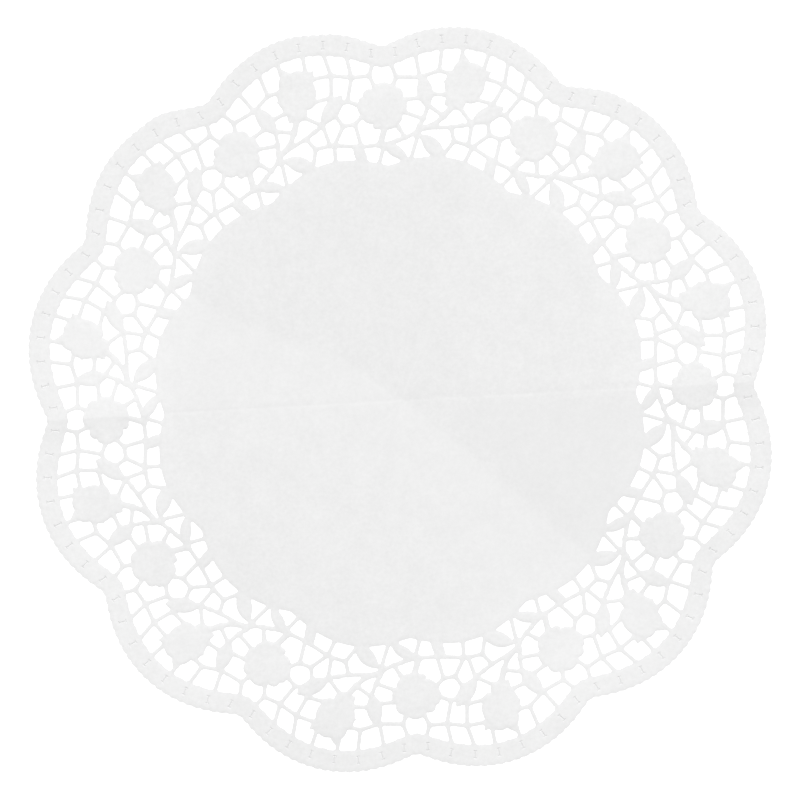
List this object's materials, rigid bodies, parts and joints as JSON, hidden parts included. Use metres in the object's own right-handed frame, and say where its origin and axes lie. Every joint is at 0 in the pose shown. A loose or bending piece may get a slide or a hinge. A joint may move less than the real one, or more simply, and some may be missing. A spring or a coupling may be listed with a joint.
{
  "type": "paper doily",
  "caption": "Round white paper doily with a plain scalloped centre, an openwork border of roses, leaves and bars, and a lobed edge band; it lies flat with a low fold across it.",
  "frame": {"origin": "on the surface that the sheet lies on, under the middle of the sheet", "axes": "+Z up out of the embossed face, +X to the right and +Y up in the picture's view"},
  "size_m": [0.3544, 0.3544, 0.0022],
  "materials": {
    "paper": "matt white paper, embossed and die-cut"
  },
  "bodies": {
    "root": {"doily": "paper"}
  },
  "joints": []
}
